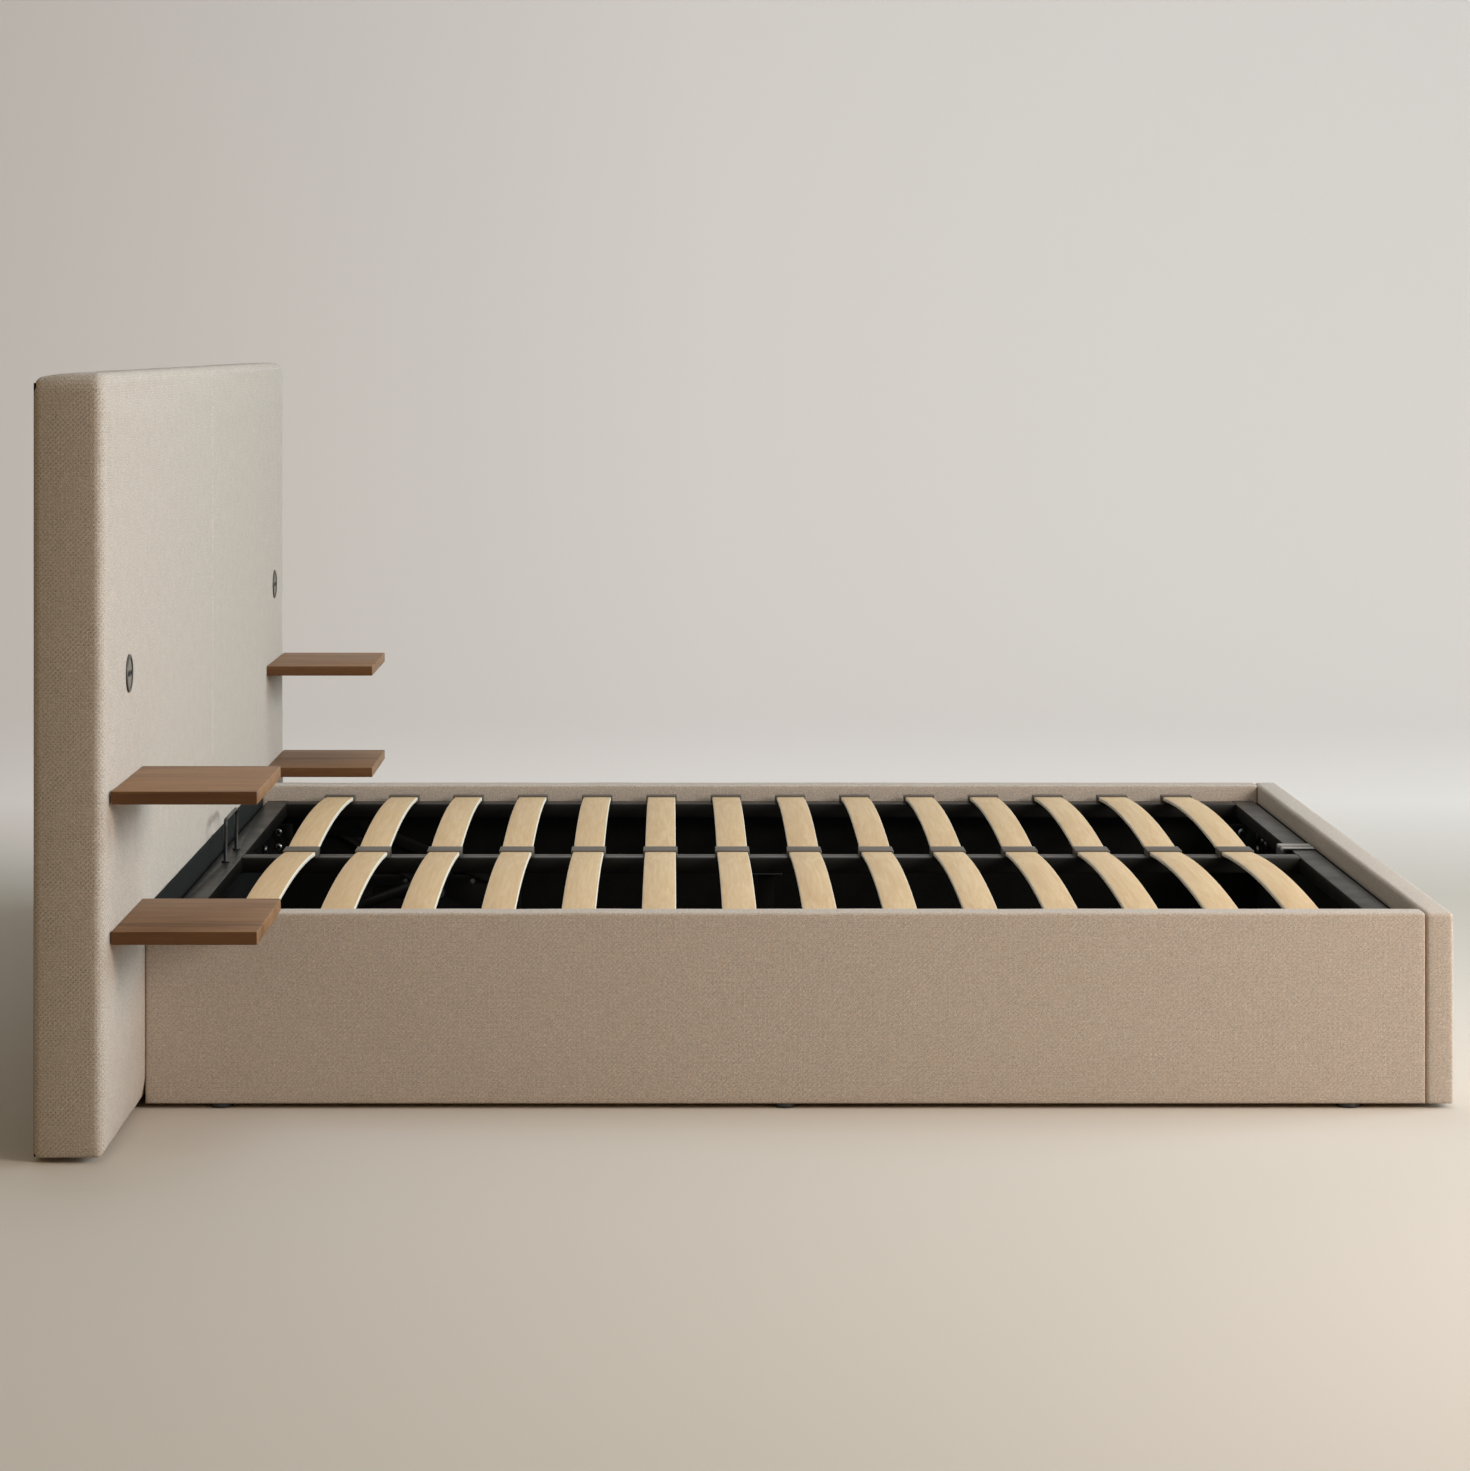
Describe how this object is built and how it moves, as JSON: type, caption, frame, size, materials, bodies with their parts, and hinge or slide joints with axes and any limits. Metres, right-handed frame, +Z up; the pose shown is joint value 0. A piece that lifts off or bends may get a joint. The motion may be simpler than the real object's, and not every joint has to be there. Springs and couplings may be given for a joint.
{
  "type": "ottoman bed",
  "caption": "Upholstered king size storage bed with a winged headboard, bedside shelves and a slatted frame that lifts at the foot.",
  "frame": {"origin": "on the floor under the middle of the whole bed, headboard included", "axes": "+X from the headboard towards the foot, +Y across the bed away from the near side, +Z up"},
  "size_m": [2.208, 2.33, 1.182],
  "materials": {
    "upholstery": "beige basket weave upholstery fabric",
    "shelf_wood": "walnut brown wood grain with eased edges",
    "timber": "plain softwood and plywood",
    "dark_board": "board covered in black lining",
    "lining": "black non-woven lining",
    "beech": "sprung beech, clear lacquer",
    "frame_steel": "dark grey satin powder coat",
    "fitting_steel": "dark grey satin powder coat",
    "black_steel": "black satin powder coat",
    "zinc": "bright zinc plate",
    "holder_plastic": "dark grey brown moulded plastic",
    "black_plastic": "black moulded plastic",
    "bezel": "dark bronze grey moulded plastic",
    "socket_face": "mid grey moulded plastic",
    "strap": "grey webbing"
  },
  "bodies": {
    "base": {"headboard_pad": "upholstery", "rail_cover_near": "upholstery", "rail_cover_far": "upholstery", "foot_cover": "upholstery", "shelf_near_lower": "shelf_wood", "shelf_near_upper": "shelf_wood", "shelf_far_lower": "shelf_wood", "shelf_far_upper": "shelf_wood", "headboard_timber": "timber", "rail_board_near": "timber", "rail_board_far": "timber", "foot_board": "timber", "floor_battens": "timber", "headboard_back": "dark_board", "head_panel": "dark_board", "floor_panel_near": "dark_board", "floor_panel_far": "dark_board", "lining_near": "lining", "lining_far": "lining", "lining_foot": "lining", "corner_brackets": "fitting_steel", "frame_rests": "fitting_steel", "lift_plate_near": "fitting_steel", "lift_plate_far": "fitting_steel", "shelf_rods": "zinc", "panel_bolts": "zinc", "plate_screws": "zinc", "plate_pins": "zinc", "glides": "black_plastic", "rest_pads": "black_plastic", "socket_bezel_near": "bezel", "socket_bezel_far": "bezel", "socket_face_near": "socket_face", "socket_face_far": "socket_face"},
    "slat_frame": {"side_tube_near": "frame_steel", "side_tube_far": "frame_steel", "head_bar": "frame_steel", "foot_bar": "frame_steel", "centre_rail": "frame_steel", "tube_plugs": "black_plastic", "slats_near": "beech", "slats_far": "beech", "outer_holders": "holder_plastic", "inner_holders": "holder_plastic", "centre_leg": "black_steel", "leg_foot": "black_plastic", "retainers": "black_steel", "pull_strap": "strap", "frame_bracket_near": "fitting_steel", "frame_bracket_far": "fitting_steel", "bracket_fixings": "zinc"},
    "rear_arm_near": {"rear_arm_near": "fitting_steel"},
    "rear_arm_far": {"rear_arm_far": "fitting_steel"},
    "front_arm_near": {"front_arm_near": "fitting_steel"},
    "front_arm_far": {"front_arm_far": "fitting_steel"},
    "strut_cylinder_near": {"strut_cylinder_near": "black_steel"},
    "strut_cylinder_far": {"strut_cylinder_far": "black_steel"},
    "strut_rod_near": {"strut_rod_near": "zinc"},
    "strut_rod_far": {"strut_rod_far": "zinc"}
  },
  "joints": [
    {"name": "frame_tilt", "type": "hinge", "parent": "rear_arm_near", "child": "slat_frame", "pos_m": [-0.854, -0.746, 0.236], "axis": [0, -1, 0], "range_deg": [0, 79.7]},
    {"name": "rear_arm_near_swing", "type": "hinge", "parent": "base", "child": "rear_arm_near", "pos_m": [-0.626, -0.746, 0.093], "axis": [0, 1, 0], "range_deg": [0, 41.7]},
    {"name": "front_arm_near_swing", "type": "hinge", "parent": "base", "child": "front_arm_near", "pos_m": [-0.479, -0.746, 0.106], "axis": [0, 1, 0], "range_deg": [0, 37.41]},
    {"name": "strut_near_swing", "type": "hinge", "parent": "base", "child": "strut_cylinder_near", "pos_m": [-0.823, -0.722, 0.058], "axis": [0, -1, 0], "range_deg": [0, 3.97]},
    {"name": "strut_near_extend", "type": "slide", "parent": "strut_cylinder_near", "child": "strut_rod_near", "axis": [0.9356, 0, 0.3531], "range_m": [0, 0.0605]},
    {"name": "rear_arm_far_swing", "type": "hinge", "parent": "base", "child": "rear_arm_far", "pos_m": [-0.626, 0.746, 0.093], "axis": [0, 1, 0], "range_deg": [0, 41.7]},
    {"name": "front_arm_far_swing", "type": "hinge", "parent": "base", "child": "front_arm_far", "pos_m": [-0.479, 0.746, 0.106], "axis": [0, 1, 0], "range_deg": [0, 37.41]},
    {"name": "strut_far_swing", "type": "hinge", "parent": "base", "child": "strut_cylinder_far", "pos_m": [-0.823, 0.722, 0.058], "axis": [0, -1, 0], "range_deg": [0, 3.97]},
    {"name": "strut_far_extend", "type": "slide", "parent": "strut_cylinder_far", "child": "strut_rod_far", "axis": [0.9356, 0, 0.3531], "range_m": [0, 0.0605]}
  ],
  "couplings": [
    {"joint": "rear_arm_near_swing", "follows": "frame_tilt", "ratio": 0.52321},
    {"joint": "front_arm_near_swing", "follows": "frame_tilt", "ratio": 0.46938},
    {"joint": "strut_near_swing", "follows": "frame_tilt", "ratio": 0.049811},
    {"joint": "strut_near_extend", "follows": "frame_tilt", "m_per_rad": 0.043493},
    {"joint": "rear_arm_far_swing", "follows": "frame_tilt", "ratio": 0.52321},
    {"joint": "front_arm_far_swing", "follows": "frame_tilt", "ratio": 0.46938},
    {"joint": "strut_far_swing", "follows": "frame_tilt", "ratio": 0.049811},
    {"joint": "strut_far_extend", "follows": "frame_tilt", "m_per_rad": 0.043493}
  ]
}
